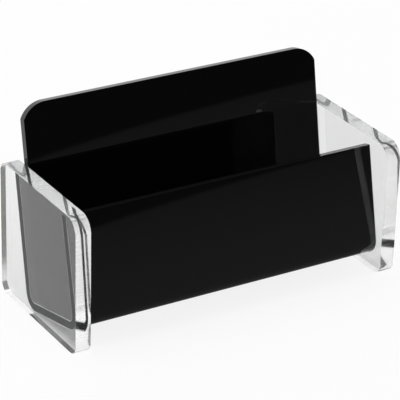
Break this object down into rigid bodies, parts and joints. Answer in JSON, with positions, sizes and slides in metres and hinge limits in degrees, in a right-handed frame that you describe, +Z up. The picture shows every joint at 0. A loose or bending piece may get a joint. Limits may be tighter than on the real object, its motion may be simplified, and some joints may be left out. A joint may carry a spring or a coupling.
{
  "type": "business card holder",
  "caption": "Desk holder for business cards: a black bent-sheet tray with a low front and taller rear panel, leaning back between two clear side panels.",
  "frame": {"origin": "on the table, at the middle of the holder's footprint", "axes": "+X across the holder to the right as seen from the front, +Y from front to back, +Z up"},
  "size_m": [0.1016, 0.043, 0.0564],
  "materials": {
    "black_acrylic": "gloss",
    "clear_acrylic": "polished"
  },
  "bodies": {
    "root": {"card_tray": "black_acrylic", "left_side_panel": "clear_acrylic", "right_side_panel": "clear_acrylic"}
  },
  "joints": []
}
